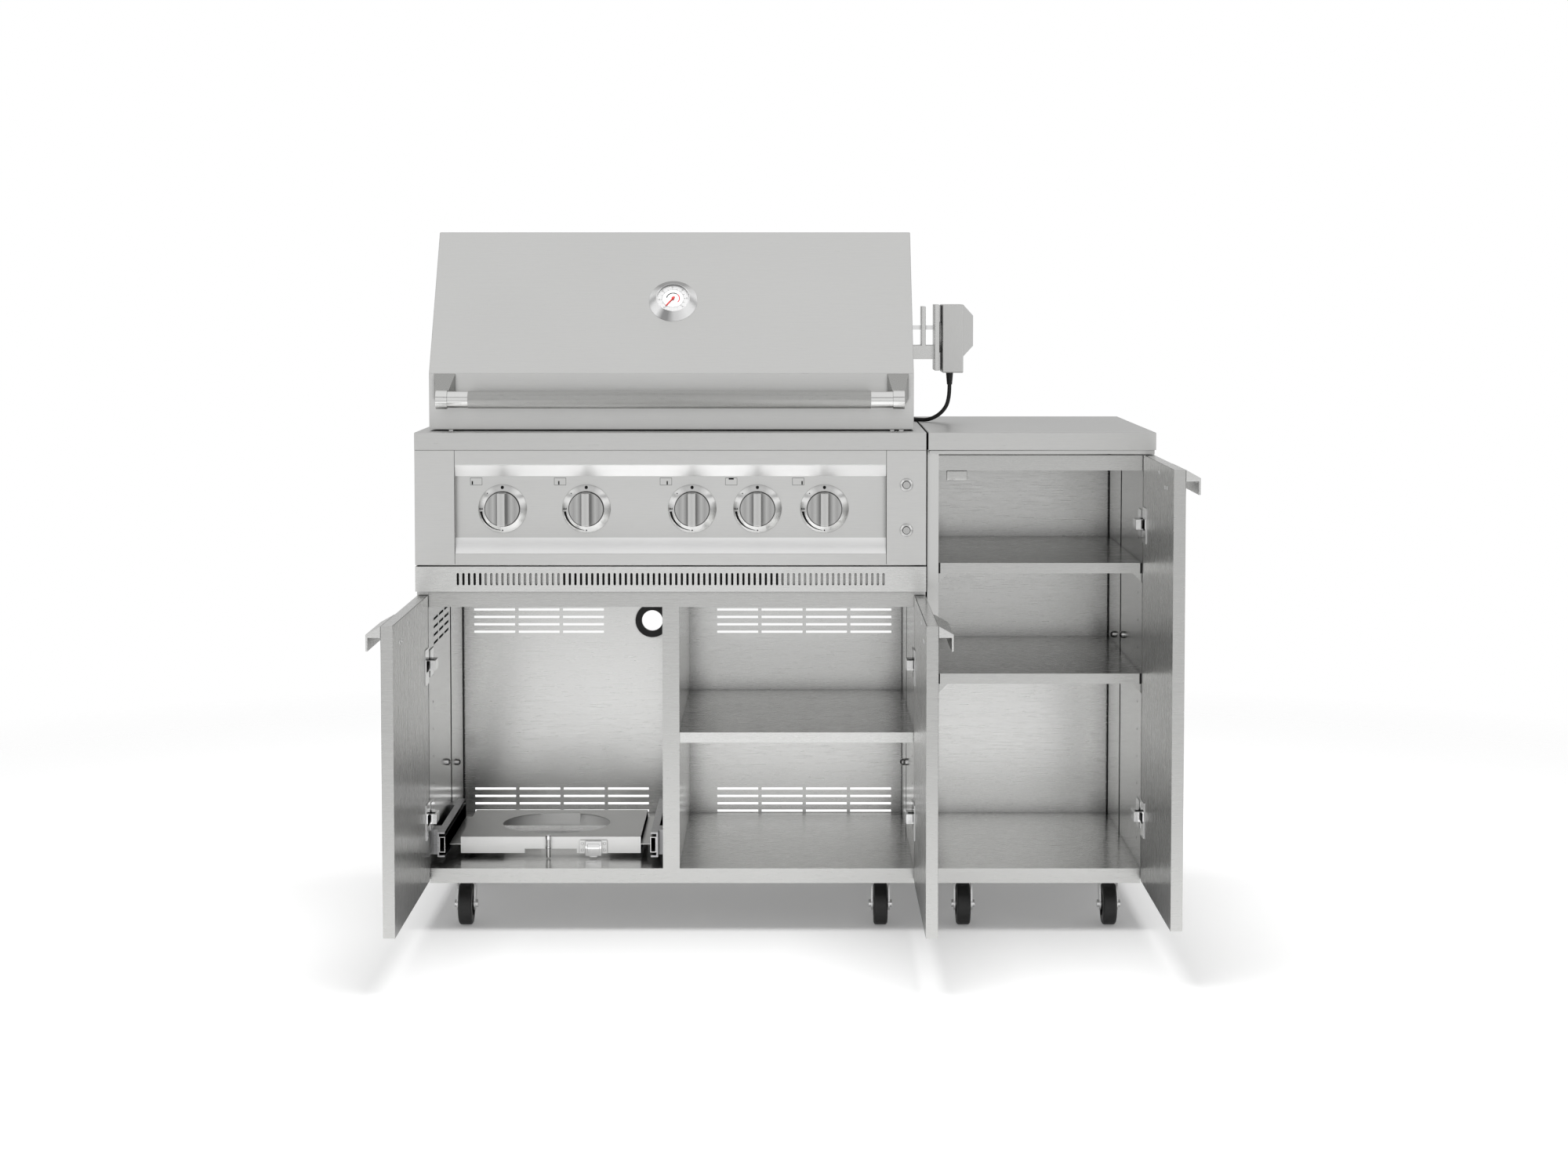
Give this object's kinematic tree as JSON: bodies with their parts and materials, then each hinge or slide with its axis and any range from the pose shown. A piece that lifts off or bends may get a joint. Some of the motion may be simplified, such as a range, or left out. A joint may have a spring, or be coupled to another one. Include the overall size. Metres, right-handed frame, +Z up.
{
  "type": "barbecue island",
  "caption": "Free-standing stainless barbecue island on castors: gas grill with hood, knobs and rotisserie above a cabinet with doors, beside a narrower cabinet with a worktop.",
  "frame": {"origin": "on the floor, under the middle of the part's box with its doors open", "axes": "+X to the right along the island seen from its front, +Y from its front to its back, +Z up"},
  "size_m": [1.3622, 1.1632, 1.257],
  "materials": {
    "cabinet_steel": "fine brushed stainless sheet",
    "panel_steel": "fine brushed stainless sheet",
    "chrome_trim": "polished and satin chrome",
    "plated_steel": "bright zinc plated steel",
    "firebox_steel": "plain mill sheet",
    "grate_iron": "matt enamelled iron",
    "motor_cover": "brushed metal cover",
    "wheel_plastic": "moulded nylon",
    "black_plastic": "moulded",
    "black_rubber": "smooth",
    "needle_red": "painted"
  },
  "bodies": {
    "island": {"floor_panels": "cabinet_steel", "grill_left_wall": "cabinet_steel", "grill_right_wall": "cabinet_steel", "grill_back_panel": "cabinet_steel", "divider_panel": "cabinet_steel", "header_rails": "cabinet_steel", "grill_shelf": "cabinet_steel", "hose_grommet": "black_rubber", "side_walls": "cabinet_steel", "side_back_panel": "cabinet_steel", "side_shelves": "cabinet_steel", "side_worktop": "panel_steel", "grill_deck": "panel_steel", "control_panel": "panel_steel", "vent_panel": "panel_steel", "control_bezels": "chrome_trim", "hinge_arms": "plated_steel", "slide_rails": "plated_steel", "caster_mounts": "plated_steel", "firebox": "firebox_steel", "gas_burners": "firebox_steel", "flame_tamers": "firebox_steel", "cooking_grates": "grate_iron", "motor_bracket": "panel_steel", "motor_housing": "motor_cover", "cord_run": "black_rubber", "cord_coil": "black_rubber", "cord_plug": "black_plastic"},
    "left_door": {"left_door": "cabinet_steel", "left_door_handle": "cabinet_steel"},
    "right_door": {"right_door": "cabinet_steel", "right_door_handle": "cabinet_steel"},
    "side_door": {"side_door": "cabinet_steel", "side_door_handle": "cabinet_steel"},
    "hood": {"hood": "panel_steel", "hood_handle": "chrome_trim", "thermometer": "chrome_trim"},
    "thermometer_needle": {"thermometer_needle": "needle_red"},
    "igniter_button": {"igniter_button": "chrome_trim"},
    "light_button": {"light_button": "chrome_trim"},
    "gas_tray": {"gas_tray": "plated_steel"},
    "slide_middles": {"slide_middles": "plated_steel"},
    "drip_tray": {"drip_tray": "firebox_steel"},
    "spit": {"spit_rod": "plated_steel"},
    "motor_switch": {"motor_switch": "black_plastic"},
    "grill_rear_wheels": {"grill_rear_wheels": "wheel_plastic"},
    "side_rear_wheels": {"side_rear_wheels": "wheel_plastic"},
    "knob_1": {"knob_1": "chrome_trim"},
    "knob_2": {"knob_2": "chrome_trim"},
    "knob_3": {"knob_3": "chrome_trim"},
    "knob_4": {"knob_4": "chrome_trim"},
    "knob_5": {"knob_5": "chrome_trim"},
    "caster_fork_1": {"caster_fork_1": "plated_steel"},
    "caster_wheel_1": {"caster_wheel_1": "wheel_plastic"},
    "caster_fork_2": {"caster_fork_2": "plated_steel"},
    "caster_wheel_2": {"caster_wheel_2": "wheel_plastic"},
    "caster_fork_3": {"caster_fork_3": "plated_steel"},
    "caster_wheel_3": {"caster_wheel_3": "wheel_plastic"},
    "caster_fork_4": {"caster_fork_4": "plated_steel"},
    "caster_wheel_4": {"caster_wheel_4": "wheel_plastic"}
  },
  "joints": [
    {"name": "left_door_hinge", "type": "hinge", "parent": "island", "child": "left_door", "pos_m": [-0.64875, -0.0731, 0.3515], "axis": [0, 0, -1], "range_deg": [-90, 10]},
    {"name": "right_door_hinge", "type": "hinge", "parent": "island", "child": "right_door", "pos_m": [0.24225, -0.0731, 0.3515], "axis": [0, 0, 1], "range_deg": [-90, 10]},
    {"name": "side_door_hinge", "type": "hinge", "parent": "island", "child": "side_door", "pos_m": [0.64875, -0.0731, 0.477], "axis": [0, 0, 1], "range_deg": [-90, 10]},
    {"name": "hood_hinge", "type": "hinge", "parent": "island", "child": "hood", "pos_m": [-0.20325, 0.4621, 0.93], "axis": [-1, 0, 0], "range_deg": [0, 85]},
    {"name": "needle_turn", "type": "hinge", "parent": "hood", "child": "thermometer_needle", "pos_m": [-0.20325, 0.0568, 1.13102], "axis": [0, 0.822, -0.5695], "range_deg": [0, 250]},
    {"name": "knob_1_turn", "type": "hinge", "parent": "island", "child": "knob_1", "pos_m": [-0.50225, -0.0669, 0.7635], "axis": [0, -1, 0], "range_deg": [0, 180]},
    {"name": "knob_2_turn", "type": "hinge", "parent": "island", "child": "knob_2", "pos_m": [-0.35325, -0.0669, 0.7635], "axis": [0, -1, 0], "range_deg": [0, 180]},
    {"name": "knob_3_turn", "type": "hinge", "parent": "island", "child": "knob_3", "pos_m": [-0.16525, -0.0669, 0.7635], "axis": [0, -1, 0], "range_deg": [0, 180]},
    {"name": "knob_4_turn", "type": "hinge", "parent": "island", "child": "knob_4", "pos_m": [-0.04925, -0.0669, 0.7635], "axis": [0, -1, 0], "range_deg": [0, 180]},
    {"name": "knob_5_turn", "type": "hinge", "parent": "island", "child": "knob_5", "pos_m": [0.06975, -0.0669, 0.7635], "axis": [0, -1, 0], "range_deg": [0, 180]},
    {"name": "igniter_button_press", "type": "slide", "parent": "island", "child": "igniter_button", "axis": [0, 1, 0], "range_m": [0, 0.003], "stiffness_N_per_m": 400},
    {"name": "light_button_press", "type": "slide", "parent": "island", "child": "light_button", "axis": [0, 1, 0], "range_m": [0, 0.003], "stiffness_N_per_m": 400},
    {"name": "gas_tray_slide", "type": "slide", "parent": "island", "child": "gas_tray", "axis": [0, -1, 0], "range_m": [0, 0.3]},
    {"name": "slide_middles_slide", "type": "slide", "parent": "island", "child": "slide_middles", "axis": [0, -1, 0], "range_m": [0, 0.15]},
    {"name": "drip_tray_slide", "type": "slide", "parent": "island", "child": "drip_tray", "axis": [0, 1, 0], "range_m": [0, 0.3]},
    {"name": "spit_turn", "type": "hinge", "parent": "island", "child": "spit", "pos_m": [0, 0.2621, 1.08], "axis": [1, 0, 0], "continuous": true},
    {"name": "motor_switch_rock", "type": "hinge", "parent": "island", "child": "motor_switch", "pos_m": [0.32975, 0.2621, 1.011], "axis": [0, -1, 0], "range_deg": [0, 16]},
    {"name": "caster_1_swivel", "type": "hinge", "parent": "island", "child": "caster_fork_1", "pos_m": [-0.57925, 0.0371, 0.1061], "axis": [0, 0, 1], "continuous": true},
    {"name": "caster_1_roll", "type": "hinge", "parent": "caster_fork_1", "child": "caster_wheel_1", "pos_m": [-0.57925, 0.0071, 0.038], "axis": [1, 0, 0], "continuous": true},
    {"name": "caster_2_swivel", "type": "hinge", "parent": "island", "child": "caster_fork_2", "pos_m": [0.17275, 0.0371, 0.1061], "axis": [0, 0, 1], "continuous": true},
    {"name": "caster_2_roll", "type": "hinge", "parent": "caster_fork_2", "child": "caster_wheel_2", "pos_m": [0.17275, 0.0071, 0.038], "axis": [1, 0, 0], "continuous": true},
    {"name": "caster_3_swivel", "type": "hinge", "parent": "island", "child": "caster_fork_3", "pos_m": [0.32275, 0.0371, 0.1061], "axis": [0, 0, 1], "continuous": true},
    {"name": "caster_3_roll", "type": "hinge", "parent": "caster_fork_3", "child": "caster_wheel_3", "pos_m": [0.32275, 0.0071, 0.038], "axis": [1, 0, 0], "continuous": true},
    {"name": "caster_4_swivel", "type": "hinge", "parent": "island", "child": "caster_fork_4", "pos_m": [0.58725, 0.0371, 0.1061], "axis": [0, 0, 1], "continuous": true},
    {"name": "caster_4_roll", "type": "hinge", "parent": "caster_fork_4", "child": "caster_wheel_4", "pos_m": [0.58725, 0.0071, 0.038], "axis": [1, 0, 0], "continuous": true},
    {"name": "grill_rear_wheels_roll", "type": "hinge", "parent": "island", "child": "grill_rear_wheels", "pos_m": [-0.20325, 0.3921, 0.038], "axis": [1, 0, 0], "continuous": true},
    {"name": "side_rear_wheels_roll", "type": "hinge", "parent": "island", "child": "side_rear_wheels", "pos_m": [0.455, 0.3921, 0.038], "axis": [1, 0, 0], "continuous": true}
  ],
  "couplings": [
    {"joint": "slide_middles_slide", "follows": "gas_tray_slide", "ratio": 0.5}
  ]
}
